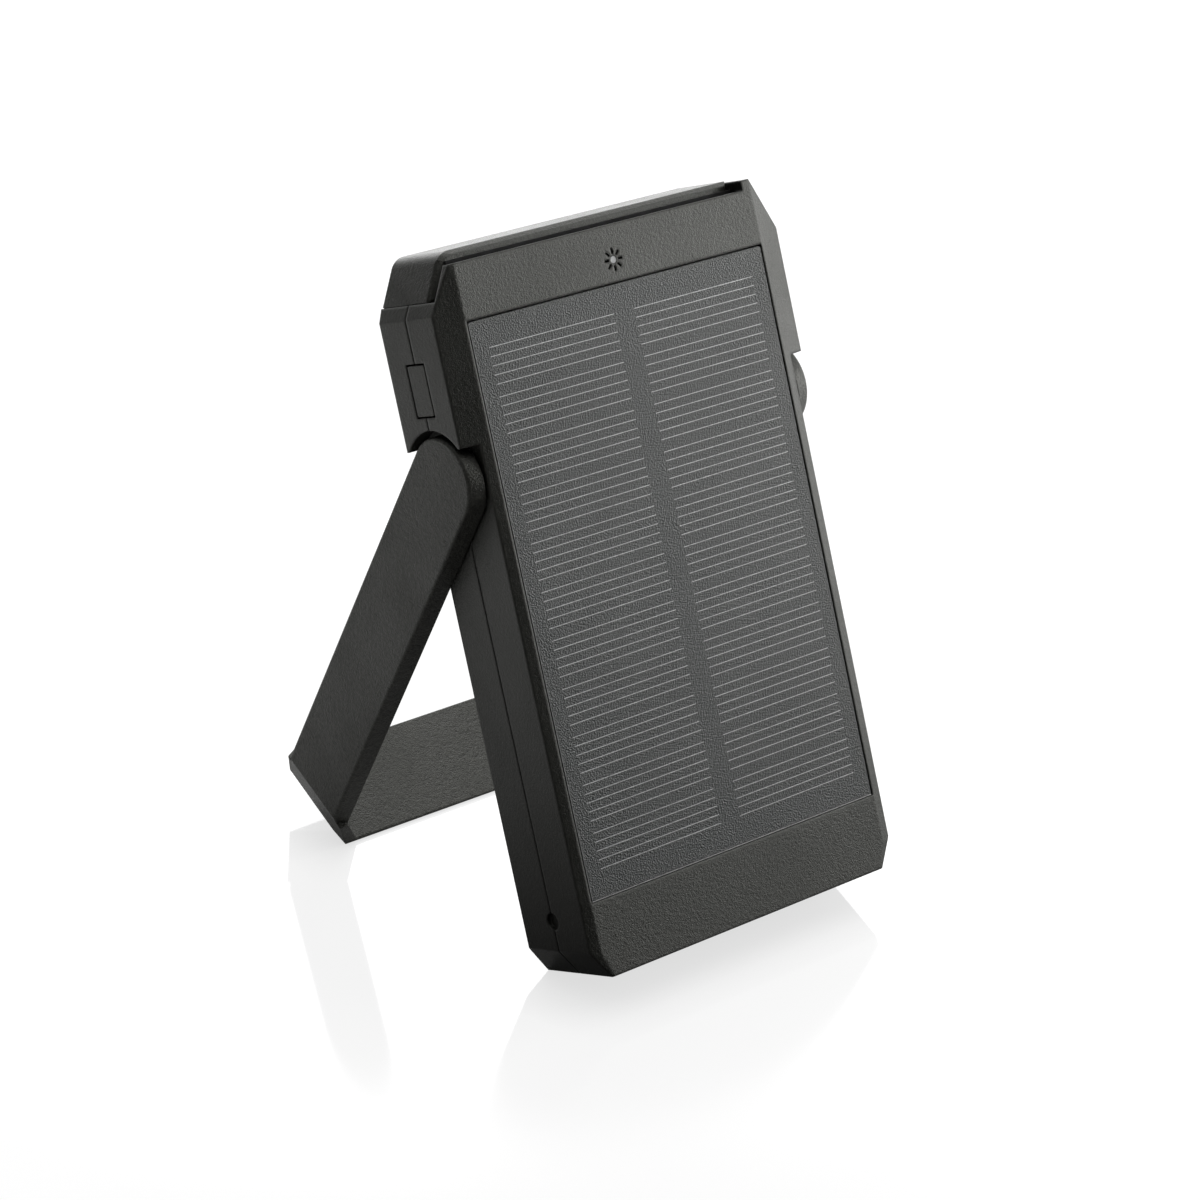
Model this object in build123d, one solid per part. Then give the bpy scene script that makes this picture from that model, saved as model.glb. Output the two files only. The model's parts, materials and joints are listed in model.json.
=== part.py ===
from build123d import *
import os
from math import atan2, cos, degrees, hypot, radians, sin, tan

os.makedirs("parts", exist_ok=True)

# Solar power bank with a fold-out U-shaped stand.
#
# Every piece is modelled in the case's own frame, standing upright with the stand folded:
#   x  across the case, 0 on the centre line
#   y  depth, 0 on the front (solar) face, growing towards the back
#   z  height, 0 on the case's bottom edge
# At the end the stand is swung open and the whole thing is leant back until the case's rear
# bottom edge and the stand's foot stand on one floor.

# ---------------------------------------------------------------- sizes, mm and degrees
# case outside, built up from the bottom edge and outwards from the front face
case_thickness = 19.8
face_half_width = 35.0        # front face, where the side bevels begin
side_bevel_run = 2.1          # from there out to the waist, between the arms of the stand
side_bevel_slope = 0.30       # depth gained per mm sideways, front and back
hinge_height = 93.8
shoulder_foot_rise = 5.8      # underside of the shoulders, above the hinge
shoulder_rise = 29.5          # where the crown chamfers begin, above the hinge
crown_rise = 10.6              # crown chamfers: their height
crown_run = 6.1               # and how far they come in
foot_corner_run = 3.5         # clipped corners of the bottom edge
foot_corner_rise = 5.4
face_corner_run = 1.9         # the same corners on the front face
face_corner_rise = 5.0

# case walls and the joint between its halves
side_wall = 2.0
front_wall = 3.0
back_wall = 2.0
arc_wall = 1.2                # over the hinge arcs, under the shoulders' pockets
lip_width = 0.9
lip_height = 1.0
lip_clearance = 0.1
seam_width = 0.3
seam_depth = 0.35

# hinge of the stand
pin_radius = 2.0
pin_running_clearance = 0.05
pin_cover = 1.4               # plastic left over the blind end of the pin
pin_tail = 0.9
saddle_length = 4.0
saddle_half_height = 4.6
washer_radius = 4.0
washer_thickness = 0.45
washer_play = 0.05
ring_radius = 3.5
ring_thickness = 0.6
ring_slot_width = 2.4

# stand
stand_open_angle = 48.1       # swung back from the folded position
arm_thickness = 3.25
arm_half_width = 8.2
arm_flare = 1.05              # its front side slants out by this much towards the case
arm_clearance = 0.35          # between an arm and the case's side
head_gap = 1.3                # between an arm's round head and the shoulder above it
arm_edge_chamfer = 0.35
arm_end_rise = 6.3            # where the arms' outer corners are cut, above the case's bottom
arm_end_run = 5.7             # and how far in the cut comes
swing_clearance = 0.4         # between the crossbar and the corner it swings past
crossbar_thickness = 3.5
crossbar_step = 1.4           # the deep crossbar starts this far below the arms' cut
crossbar_overhang = 1.9       # it reaches this far behind the case
crossbar_end_slope = 0.5      # depth lost per mm sideways, at the back of its ends
foot_flat_start = 4.5         # foot bevel, in front of the hinge line
detent_height = 11.0
detent_radius = 1.65
detent_depth = 0.9
nub_radius = 1.3
nub_rise = 0.28

# flexible port cover and its seat
cover_thickness = 2.8
cover_seat_clearance = 0.15
cover_front_inset = 3.3       # its front edge, in from the front face
cover_back_inset = 0.9        # its back edge, in from the back face
cover_tail_rise = 2.4         # its lower end, above the foot of the left crown chamfer
cover_right_inset = 2.1       # its right end, in from the crown's corner
cover_corner_radius = 3.6
cover_edge_chamfer = 0.8
cover_end_gap = 0.2
cover_right_gap = 0.5         # finger gap between the cover and the end post
cover_plug_depth = 1.0
cover_plug_clearance = 0.4
rim_thickness = 1.9           # rim of the case in front of the cover
rim_drop = 2.3
end_post_drop = 0.4           # the post at the rim's right end, below the top of the cover

# side button and its switch
button_length = 9.3
button_width = 5.1
button_gap = 0.28
button_corner_radius = 0.4
button_flange_margin = 0.8
button_flange_thickness = 0.8
button_flange_play = 0.1
button_floor_gap = 0.55
button_travel = 0.5
switch_depth = 3.8
switch_length = 6.0
switch_rise = 3.0
switch_stem_width = 3.0
switch_stem_thickness = 1.6
switch_stem_reach = 0.8
switch_stem_clearance = 0.1
switch_stem_seat = 1.4

# solar panel, from the film inwards
panel_side_margin = 0.5
panel_low = 14.5
panel_top_margin = 13.0
panel_gap = 0.3
panel_sink = 0.05
panel_corner_radius = 0.5
film_thickness = 0.4
finger_thickness = 0.05
cell_thickness = 0.2
backing_thickness = 0.8
tape_thickness = 0.15
tape_width = 3.0
cell_rows = 11
cell_field_margin = 4.03      # between the panel's ends and the field of cells
cell_side_margin = 2.5
cell_row_gap = 0.34
cell_column_gap = 3.4
cell_pocket_margin = 0.4
fingers_per_cell = 5
finger_width = 0.28
finger_row_margin = 0.98      # from a cell's edge to the middle of its first line
finger_inner_margin = 0.7
finger_outer_margin = 0.8

# sun-shaped charge light
sun_drop = 8.65
sun_rays = 8
sun_ray_inner = 1.05
sun_ray_outer = 2.1
sun_ray_width = 0.42
sun_ray_depth = 0.6
light_guide_radius = 0.65
light_guide_flange = 1.6
light_guide_flange_thickness = 1.0
light_guide_led_gap = 0.3
led_side = 1.6
led_height = 0.8

# sockets
usb_a_left = -19.0
usb_a_right = 9.5
usb_a_width = 13.1
usb_a_thickness = 5.7
usb_a_length = 14.0
usb_a_wall = 0.35
usb_tongue_width = 11.1
usb_tongue_thickness = 1.8
usb_tongue_setback = 1.2
usb_back_block = 3.0
micro_usb_gap = 1.7           # to the socket beside it
micro_usb_width = 7.5
micro_usb_thickness = 2.7
micro_usb_length = 5.2
micro_usb_wall = 0.3
micro_usb_clip = 0.9
micro_usb_tongue_margin = 1.2 # sides of its tongue, in from the socket's sides
micro_usb_tongue_front = 0.9
micro_usb_tongue_thickness = 0.6
micro_usb_tongue_setback = 0.6
socket_window_gap = 0.35
socket_mouth_sink = 1.3

# main board and what is soldered to it
board_thickness = 1.2
board_socket_gap = 0.05
board_side_gap = 0.7          # to the upper screw posts
board_foot_drop = 5.8         # its lower edge, below the hinge
board_pin_gap = 2.6           # to the hinge pins' inner ends
board_shoulder_rise = 6.7     # where it widens, above the hinge
board_top_gap = 0.4
board_tab_margin = 1.0
inductor_side = 8.0
inductor_height = 4.2
inductor_corner = 1.0
inductor_place = (11.0, 5.5)  # across, and above the board's shoulders
chip_height = 1.0
controller_side = 5.0
controller_place = (-11.5, 5.0)
converter_side = 4.2
converter_place = (-20.0, -0.8)
capacitor_radius = 2.6
capacitor_length = 7.0
capacitor_columns = (22.5, 28.5)
capacitor_screw_gap = 0.7     # below the upper board screws
board_screw_inset = 4.0
board_screw_socket_gap = 1.0
board_screw_low = 4.5
board_screw_radius = 0.9
board_screw_head_radius = 1.8
board_screw_head_height = 1.1
board_post_half = 2.2
board_screw_bite = 2.6

# case screws
lower_screw_inset = 3.2
lower_screw_height = 11.5
upper_screw_inset = 3.5
upper_screw_gap = 0.65        # between its post and the button's flange
case_screw_radius = 1.0
case_screw_clearance = 0.2
case_screw_head_radius = 2.1
case_screw_head_height = 1.4
case_screw_sink = 1.6
case_screw_bite = 4.0
case_screw_slot_length = 2.7
case_screw_slot_width = 0.5
case_post_half = 2.7

# battery
battery_side_gap = 8.1
battery_low = 5.0
battery_top_drop = 8.8        # its upper edge, below the hinge
battery_front_pad = 1.0
battery_back_pad = 2.6
battery_edge_chamfer = 1.2
battery_pad_inset = 6.0
rib_thickness = 1.2
rib_gap = 0.5
rib_height = 6.0

# wiring
tab_width = 4.0               # flat metal tabs of the battery
tab_thickness = 0.3
tab_spread = 5.0
tab_inset = 15.0              # middle of the pair, in from the battery's left side
tab_board_rise = 3.5          # where they reach the board, above its lower edge
wire_radius = 0.65
wire_solder_depth = 0.4
wire_slot_clearance = 0.25
panel_wire_spread = 2.2
panel_wire_rise = 3.5         # above the board's shoulders

# ---------------------------------------------------------------- sizes that follow
# outside
mid_depth = case_thickness / 2
hinge_depth = mid_depth
waist_half_width = face_half_width + side_bevel_run
arm_inner = waist_half_width + arm_clearance
shoulder_half_width = arm_inner + arm_thickness
crown_half_width = shoulder_half_width - crown_run
foot_half_width = waist_half_width - foot_corner_run
face_foot_half_width = face_half_width - face_corner_run
shoulder_foot = hinge_height + shoulder_foot_rise
shoulder_head = hinge_height + shoulder_rise
case_height = shoulder_head + crown_rise
crown_slant = hypot(crown_run, crown_rise)
crossbar_end_half_width = shoulder_half_width - arm_end_run
arc_radius = arm_half_width + head_gap
corner_reach = hypot(hinge_height, case_thickness - hinge_depth)
crossbar_inner_reach = corner_reach + swing_clearance
crossbar_top = hinge_height - crossbar_inner_reach
crossbar_bottom = crossbar_top - crossbar_thickness
crossbar_back = case_thickness + crossbar_overhang
beyond = 2 * case_height      # half size of cutters that reach past everything
over = 1.0                    # how far a cutter runs past the face it opens

# inside
shoulder_inner = shoulder_half_width - side_wall
waist_inner = waist_half_width - side_wall
cover_floor = case_height - cover_thickness
cavity_front = front_wall
cavity_back = case_thickness - back_wall
cavity_top = cover_floor - side_wall
pocket_floor = hinge_height + arc_radius + arc_wall
case_screw_places = (
    (waist_inner - lower_screw_inset, lower_screw_height),
    (shoulder_inner - upper_screw_inset,
     pocket_floor + button_floor_gap + 2 * button_flange_margin + button_length + upper_screw_gap
     + case_post_half),
)
case_screw_seat = case_thickness - case_screw_sink - case_screw_head_height

# hinge, from the case's side inwards
saddle_face = waist_inner - saddle_length
washer_outer = saddle_face - washer_play
washer_inner = washer_outer - washer_thickness
ring_inner = washer_inner - ring_thickness
pin_inner = ring_inner - pin_tail
pin_outer = shoulder_half_width - pin_cover

# cover, button and switch
cover_tail_height = shoulder_head + cover_tail_rise
cover_right_end = crown_half_width - cover_right_inset
seat_right_end = cover_right_end + cover_right_gap
rim_height = case_height - rim_drop
button_height = pocket_floor + button_floor_gap + button_flange_margin + button_length / 2
flange_left = -shoulder_inner + button_flange_play
stem_left = flange_left + button_flange_thickness
switch_left = stem_left + switch_stem_reach

# panel
panel_half_width = face_half_width - panel_side_margin
panel_high = case_height - panel_top_margin
film_back = panel_sink + film_thickness
finger_back = film_back + finger_thickness
cell_back = finger_back + cell_thickness
backing_back = cell_back + backing_thickness
panel_floor = backing_back + tape_thickness
cell_field_low = panel_low + cell_field_margin
cell_field_high = panel_high - cell_field_margin
cell_pitch = (cell_field_high - cell_field_low) / cell_rows
cell_height = cell_pitch - cell_row_gap
cell_inner_edge = cell_column_gap / 2
cell_outer_edge = panel_half_width - cell_side_margin
finger_pitch = (cell_height - 2 * finger_row_margin) / (fingers_per_cell - 1)
sun_height = case_height - sun_drop

# sockets and board
usb_a_centres = (usb_a_left, usb_a_right)
micro_usb_centre = usb_a_right + usb_a_width / 2 + micro_usb_gap + micro_usb_width / 2
socket_mouth = cover_floor - socket_mouth_sink
board_front = mid_depth + usb_a_thickness / 2 + board_socket_gap
board_back = board_front + board_thickness
board_half_width = case_screw_places[-1][0] - case_post_half - board_side_gap
board_tongue_half_width = pin_inner - board_pin_gap
board_bottom = hinge_height - board_foot_drop
board_shoulder = hinge_height + board_shoulder_rise
board_top = cavity_top - board_top_gap
board_screw_high = socket_mouth - usb_a_length - board_screw_socket_gap - board_screw_head_radius
board_screw_places = (
    (-board_half_width + board_screw_inset, board_screw_high),
    (board_half_width - board_screw_inset, board_screw_high),
    (0.0, board_bottom + board_screw_low),
)
panel_wire_height = board_shoulder + panel_wire_rise
capacitor_top = board_screw_high - board_screw_head_radius - capacitor_screw_gap

# battery
battery_half_width = waist_inner - battery_side_gap
battery_high = hinge_height - battery_top_drop
battery_front = cavity_front + battery_front_pad
battery_back = cavity_back - battery_back_pad
battery_middle = (battery_front + battery_back) / 2


def crown_x(z, inset=0.0):
    """Half width of the crown chamfer at height z, with its face moved inwards by inset."""
    level = shoulder_half_width - (z - shoulder_head) * crown_run / crown_rise
    return level - inset * crown_slant / crown_rise


def crown_z(x, inset=0.0):
    """Height of the crown chamfer at half width x, with its face moved inwards by inset."""
    start = shoulder_half_width - inset * crown_slant / crown_rise
    return shoulder_head + (start - x) * crown_rise / crown_run


# ---------------------------------------------------------------- shape helpers
def block(x0, x1, y0, y1, z0, z1):
    """Box between two corners."""
    return Pos((x0 + x1) / 2, (y0 + y1) / 2, (z0 + z1) / 2) * Box(x1 - x0, y1 - y0, z1 - z0)


def post(x, y0, y1, z, half):
    """Square bar from front to back."""
    return block(x - half, x + half, y0, y1, z - half, z + half)


def slab(shape, y0, y1):
    """Front-view shape (x, z) given depth from y0 to y1."""
    plane = Plane(origin=(0, y1, 0), x_dir=(1, 0, 0), z_dir=(0, -1, 0))
    return extrude(plane * shape, amount=y1 - y0, dir=(0, -1, 0))


def side_prism(shape, x0, x1):
    """Side-view shape (y, z) stretched from x0 to x1."""
    plane = Plane(origin=(x0, 0, 0), x_dir=(0, 1, 0), z_dir=(1, 0, 0))
    return extrude(plane * shape, amount=x1 - x0, dir=(1, 0, 0))


def rod_x(x0, x1, y, z, radius):
    """Round bar across the case."""
    return Pos((x0 + x1) / 2, y, z) * Rot(0, 90, 0) * Cylinder(radius, x1 - x0)


def rod_y(y0, y1, x, z, radius):
    """Round bar from front to back."""
    return Pos(x, (y0 + y1) / 2, z) * Rot(90, 0, 0) * Cylinder(radius, y1 - y0)


def outline(points):
    """Closed straight-sided outline."""
    return Polygon(*points, align=None)


def both_sides(points):
    """Right-hand outline points, bottom to top, completed with their mirror image."""
    return outline(points + [(-x, z) for x, z in reversed(points)])


def left_and_right(shape):
    """A right-hand feature and its mirror image."""
    return shape + mirror(shape, about=Plane.YZ)


def front_and_back(shape):
    """A front feature and its copy on the back."""
    return shape + mirror(shape, about=Plane.XZ.offset(-mid_depth))


# ---------------------------------------------------------------- case
def case_outline():
    """The closed case seen from the front."""
    return both_sides([
        (foot_half_width, 0),
        (waist_half_width, foot_corner_rise),
        (waist_half_width, shoulder_foot),
        (shoulder_half_width, shoulder_foot),
        (shoulder_half_width, shoulder_head),
        (crown_half_width, case_height),
    ])


def bevel_wedge(start, end):
    """Cutter for a front bevel that rises outwards from the line start-end on the front face."""
    reach = case_thickness / 2
    along = Vector(end[0] - start[0], 0, end[1] - start[1]).normalized()
    outwards = Vector(along.Z, 0, -along.X)
    base = Vector(start[0], 0, start[1]) - along * beyond / 2
    plane = Plane(origin=base, x_dir=outwards, z_dir=along)
    section = outline([(0, 0), (0, -over), (reach, -over), (reach, side_bevel_slope * reach)])
    return extrude(plane * section, amount=beyond, dir=along)


def case_block():
    """Outside of the closed case, with its bevels and the arcs over the hinges."""
    body = slab(case_outline(), 0, case_thickness)
    corner = bevel_wedge((face_foot_half_width, 0), (face_half_width, face_corner_rise))
    side = bevel_wedge((face_half_width, face_corner_rise), (face_half_width, case_height))
    body -= front_and_back(left_and_right(side + corner))
    arc = rod_x(waist_half_width, shoulder_half_width + over, hinge_depth, hinge_height, arc_radius)
    return body - left_and_right(arc)


def cavity_outline():
    """Inside of the case, seen from the front."""
    wall_and_cover = cover_thickness + side_wall
    return both_sides([
        (foot_half_width - side_wall / 2, side_wall),
        (waist_inner, foot_corner_rise + side_wall / 2),
        (waist_inner, pocket_floor),
        (shoulder_inner, pocket_floor),
        (shoulder_inner, crown_z(shoulder_inner, wall_and_cover)),
        (crown_x(cavity_top, wall_and_cover), cavity_top),
    ])


def cover_profile(clearance, right_end, tail_gap=0.0):
    """The port cover seen from the front: down the left chamfer, round the corner, along the top."""
    depth = cover_thickness - clearance
    tail = cover_tail_height + tail_gap
    down = depth * crown_run / crown_slant
    inward = depth * crown_rise / crown_slant
    tail_x = -crown_x(tail)
    return outline([
        (tail_x, tail),
        (-crown_half_width, case_height),
        (right_end, case_height),
        (right_end, case_height - depth),
        (-crown_x(case_height - depth, depth), case_height - depth),
        (tail_x + inward, tail - down),
    ])


def socket_openings():
    """Centre, width and thickness of each port window in the top of the case."""
    gap = 2 * socket_window_gap
    openings = [(x, usb_a_width + gap, usb_a_thickness + gap) for x in usb_a_centres]
    openings.append((micro_usb_centre, micro_usb_width + gap, micro_usb_thickness + gap))
    return openings


def port_windows():
    """Windows for the sockets through the top wall."""
    windows = Part()
    for centre, width, thickness in socket_openings():
        windows += block(centre - width / 2, centre + width / 2, mid_depth - thickness / 2,
                         mid_depth + thickness / 2, cavity_top - over, cover_floor + over)
    return windows


def sun_cutter():
    """Rays round the charge light, sunk into the front face."""
    rays = Part()
    ray = Box(sun_ray_outer - sun_ray_inner, sun_ray_depth, sun_ray_width)
    ray = Pos((sun_ray_inner + sun_ray_outer) / 2, sun_ray_depth / 2, 0) * ray
    for i in range(sun_rays):
        rays += Pos(0, 0, sun_height) * Rot(0, i * 360 / sun_rays, 0) * ray
    return rays


def case_cutters():
    """Everything that is cut through both halves of the case."""
    behind = case_thickness + over
    cuts = slab(cover_profile(0, seat_right_end), rim_thickness, behind)
    cuts += block(-crown_x(rim_height) - over, seat_right_end, -over, behind, rim_height, case_height + over)
    cuts += block(seat_right_end - over, crown_half_width + over, -over, behind,
                  case_height - end_post_drop, case_height + over)
    cuts += block(-panel_half_width - panel_gap, panel_half_width + panel_gap, -over, panel_floor,
                  panel_low - panel_gap, panel_high + panel_gap)
    cuts += left_and_right(rod_x(saddle_face - over, waist_half_width + over, hinge_depth, hinge_height,
                                 pin_radius + pin_running_clearance))
    cuts += left_and_right(rod_x(waist_half_width - detent_depth, waist_half_width + over, hinge_depth,
                                 detent_height, detent_radius))
    half_y, half_z = button_width / 2 + button_gap, button_length / 2 + button_gap
    cuts += block(-shoulder_half_width - over, -shoulder_inner + over, mid_depth - half_y, mid_depth + half_y,
                  button_height - half_z, button_height + half_z)
    wire_room = wire_radius + wire_slot_clearance
    cuts += block(-panel_wire_spread - wire_room, panel_wire_spread + wire_room, panel_floor - over,
                  cavity_front + over, panel_wire_height - wire_room, panel_wire_height + wire_room)
    cuts += rod_y(-over, cavity_front + over, 0, sun_height, light_guide_radius)
    return cuts + port_windows() + sun_cutter()


def seam_cutter():
    """Fine groove round the outside where the two halves meet."""
    half = seam_width / 2
    band = block(-beyond, beyond, mid_depth - half, mid_depth + half, -beyond, beyond)
    inner = offset(case_outline(), -seam_depth, kind=Kind.INTERSECTION)
    return band - slab(inner, 0, case_thickness)


def saddle_blocks(y0, y1):
    """Blocks inside the side walls that hold the hinge pins."""
    return left_and_right(block(saddle_face, waist_inner + side_wall / 2, y0, y1,
                                hinge_height - saddle_half_height, hinge_height + saddle_half_height))


def screw_posts(y0, y1):
    """Posts for the case screws."""
    posts = Part()
    for x, z in case_screw_places:
        posts += post(x, y0, y1, z, case_post_half)
    return left_and_right(posts)


def front_shell():
    """Front half: solar panel seat, hinge saddles, screw posts and the rebate for the lip."""
    shell = case_outer & block(-beyond, beyond, -over, mid_depth, -over, case_height + over)
    shell -= slab(cavity_outline(), cavity_front, mid_depth)
    shell += (saddle_blocks(cavity_front, mid_depth) + screw_posts(cavity_front, mid_depth)) & case_outer
    rebate = offset(cavity_outline(), lip_width + lip_clearance, kind=Kind.INTERSECTION) - cavity_outline()
    shell -= slab(rebate, mid_depth - lip_height - lip_clearance, mid_depth)
    for x, z in case_screw_places:
        shell -= left_and_right(rod_y(mid_depth - case_screw_bite, mid_depth + over, x, z, case_screw_radius))
    return shell - case_cuts - seam_groove


def back_shell():
    """Back half: lip, hinge saddles, sunk screw posts, board posts and battery fence."""
    shell = case_outer & block(-beyond, beyond, mid_depth, case_thickness + over, -over, case_height + over)
    shell -= slab(cavity_outline(), mid_depth, cavity_back)
    shell += (saddle_blocks(mid_depth, cavity_back) + screw_posts(mid_depth, cavity_back)) & case_outer
    lip = offset(cavity_outline(), lip_width, kind=Kind.INTERSECTION) - cavity_outline()
    shell += slab(lip, mid_depth - lip_height, mid_depth)
    for x, z in board_screw_places:
        shell += post(x, board_back, cavity_back, z, board_post_half)
        shell -= rod_y(board_back - over, board_back + board_screw_bite, x, z, board_screw_radius)
    shell += battery_fence()
    for x, z in case_screw_places:
        hole = rod_y(mid_depth - over, case_screw_seat + over, x, z, case_screw_radius + case_screw_clearance)
        hole += rod_y(case_screw_seat, case_thickness + over, x, z,
                      case_screw_head_radius + case_screw_clearance)
        shell -= left_and_right(hole)
    return shell - case_cuts - seam_groove


def battery_fence():
    """Ribs on the back wall, beside and above the cells."""
    inner = battery_half_width + rib_gap
    rib_front = cavity_back - rib_height
    side = block(inner, inner + rib_thickness, rib_front, cavity_back,
                 battery_low + battery_pad_inset, battery_high - battery_pad_inset)
    top = block(-inner, inner, rib_front, cavity_back,
                battery_high + rib_gap, battery_high + rib_gap + rib_thickness)
    return left_and_right(side) + top


def case_screws():
    """Self-tapping screws from the back, each a round head, shank and cross recess."""
    screws = Part()
    head_top = case_screw_seat + case_screw_head_height
    for x, z in case_screw_places:
        screw = rod_y(case_screw_seat, head_top, x, z, case_screw_head_radius)
        screw += rod_y(mid_depth - case_screw_bite, case_screw_seat, x, z, case_screw_radius)
        for turn in (0, 90):
            slot = Box(case_screw_slot_length, case_screw_head_height, case_screw_slot_width)
            screw -= Pos(x, head_top, z) * Rot(0, turn, 0) * slot
        screws += screw
    return left_and_right(screws)


# ---------------------------------------------------------------- solar panel
def cell_centres():
    """Height of the middle of each row of cells."""
    return [cell_field_low + (i + 0.5) * cell_pitch for i in range(cell_rows)]


def solar_cells():
    """Two columns of cells, wired up the panel as one string."""
    cells = []
    for z in cell_centres():
        for x0, x1 in ((-cell_outer_edge, -cell_inner_edge), (cell_inner_edge, cell_outer_edge)):
            cells.append(block(x0, x1, finger_back, cell_back, z - cell_height / 2, z + cell_height / 2))
    return Compound(cells)


def cell_fingers():
    """Printed silver collector lines, a few on each cell."""
    lines = []
    near, far = cell_inner_edge + finger_inner_margin, cell_outer_edge - finger_outer_margin
    for centre in cell_centres():
        for i in range(fingers_per_cell):
            z = centre + (i - (fingers_per_cell - 1) / 2) * finger_pitch
            for x0, x1 in ((-far, -near), (near, far)):
                lines.append(block(x0, x1, film_back, finger_back,
                                   z - finger_width / 2, z + finger_width / 2))
    return Compound(lines)


def solar_film():
    """Clear moulded film over the cells, with a shallow pocket for them."""
    film = block(-panel_half_width, panel_half_width, panel_sink, cell_back, panel_low, panel_high)
    film = fillet(film.edges().filter_by(Axis.Y), panel_corner_radius)
    pocket_half_width = cell_outer_edge + cell_pocket_margin
    return film - block(-pocket_half_width, pocket_half_width, film_back, cell_back + over,
                        cell_field_low - cell_pocket_margin, cell_field_high + cell_pocket_margin)


def panel_backing():
    """Circuit-board backing that carries the cells."""
    plate = block(-panel_half_width, panel_half_width, cell_back, backing_back, panel_low, panel_high)
    for side in (-1, 1):
        plate -= rod_y(backing_back - wire_solder_depth, backing_back + over, side * panel_wire_spread,
                       panel_wire_height, wire_radius)
    return plate


def panel_tape():
    """Adhesive frame that holds the panel in its seat."""
    outer = block(-panel_half_width, panel_half_width, backing_back, panel_floor, panel_low, panel_high)
    inner_half_width = panel_half_width - tape_width
    return outer - block(-inner_half_width, inner_half_width, backing_back - over, panel_floor + over,
                         panel_low + tape_width, panel_high - tape_width)


def panel_leads():
    """Two wires from the panel's backing straight back to the board."""
    leads = Part()
    for side in (-1, 1):
        leads += rod_y(backing_back - wire_solder_depth, board_front, side * panel_wire_spread,
                       panel_wire_height, wire_radius)
    return leads


# ---------------------------------------------------------------- port cover
def on_outside(point):
    """Whether a point of the cover lies on its outer surface and not on its underside or its end."""
    skin = cover_thickness / 2
    return point.Z > case_height - skin or (point.X < 0 and -point.X > crown_x(point.Z, skin))


def port_cover():
    """Rubber flap over the ports, hinged at its tail on the left chamfer."""
    profile = cover_profile(cover_seat_clearance, cover_right_end, cover_end_gap)
    flap = slab(profile, cover_front_inset, case_thickness - cover_back_inset)
    corner = flap.edges().filter_by(Axis.Y).sort_by_distance((-crown_half_width, mid_depth, case_height))[0]
    flap = fillet(corner, cover_corner_radius)
    fronts = flap.faces().sort_by(Axis.Y)
    rims = [edge for edge in fronts[0].edges() + fronts[-1].edges() if on_outside(edge.center())]
    flap = chamfer(rims, cover_edge_chamfer) & case_outer
    plug_top = cover_floor + cover_seat_clearance
    for centre, opening, thickness in socket_openings():
        half = opening / 2 - cover_plug_clearance
        rise = thickness / 2 - cover_plug_clearance
        flap += block(centre - half, centre + half, mid_depth - rise, mid_depth + rise,
                      plug_top - cover_plug_depth, plug_top + cover_thickness / 2)
    return flap


# ---------------------------------------------------------------- side button and its switch
def button_plate(x0, x1, margin):
    """Slab of the button's size, seen from the side, wider by margin all round."""
    half_y, half_z = button_width / 2 + margin, button_length / 2 + margin
    return block(x0, x1, mid_depth - half_y, mid_depth + half_y,
                 button_height - half_z, button_height + half_z)


def side_button():
    """Button cap flush with the left shoulder, and the flange that keeps it in."""
    cap = button_plate(-shoulder_half_width, flange_left, 0)
    cap = fillet(cap.edges().filter_by(Axis.X), button_corner_radius)
    return cap + button_plate(flange_left, stem_left, button_flange_margin)


def stem_block(x0, x1, clearance):
    """Bar of the plunger's section, wider by clearance all round."""
    half_y = switch_stem_thickness / 2 + clearance
    half_z = switch_stem_width / 2 + clearance
    return block(x0, x1, mid_depth - half_y, mid_depth + half_y,
                 button_height - half_z, button_height + half_z)


def switch_stem():
    """Plunger of the push switch, pressed by the button."""
    return stem_block(stem_left, switch_left + switch_stem_seat, 0)


def push_switch():
    """Side-push switch on the board's left tab, open where its plunger slides."""
    body = block(switch_left, switch_left + switch_depth, mid_depth - switch_rise / 2, board_front,
                 button_height - switch_length / 2, button_height + switch_length / 2)
    slot_end = switch_left + switch_stem_seat + button_travel + switch_stem_clearance
    return body - stem_block(switch_left - over, slot_end, switch_stem_clearance)


# ---------------------------------------------------------------- light, board and sockets
def light_guide():
    """Clear rod that brings the charge light to the middle of the sun, with a square flange."""
    rod = rod_y(panel_sink, board_front - led_height - light_guide_led_gap, 0, sun_height, light_guide_radius)
    return rod + post(0, cavity_front, cavity_front + light_guide_flange_thickness, sun_height,
                      light_guide_flange)


def charge_led():
    """Light-emitting diode under the light guide."""
    return post(0, board_front - led_height, board_front, sun_height, led_side / 2)


def main_board():
    """Circuit board: a tongue between the hinges, a wide part above and a tab for the switch."""
    tab_reach = -switch_left - board_side_gap
    tab_low = button_height - switch_length / 2 - board_tab_margin
    tab_high = button_height + switch_length / 2 + board_tab_margin
    board = slab(outline([
        (-board_tongue_half_width, board_bottom),
        (board_tongue_half_width, board_bottom),
        (board_tongue_half_width, board_shoulder),
        (board_half_width, board_shoulder),
        (board_half_width, board_top),
        (-board_half_width, board_top),
        (-board_half_width, tab_high),
        (-tab_reach, tab_high),
        (-tab_reach, tab_low),
        (-board_half_width, tab_low),
        (-board_half_width, board_shoulder),
        (-board_tongue_half_width, board_shoulder),
    ]), board_front, board_back)
    for x, z in board_screw_places:
        board -= rod_y(board_front - over, board_back + over, x, z, board_screw_radius)
    return board


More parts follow.
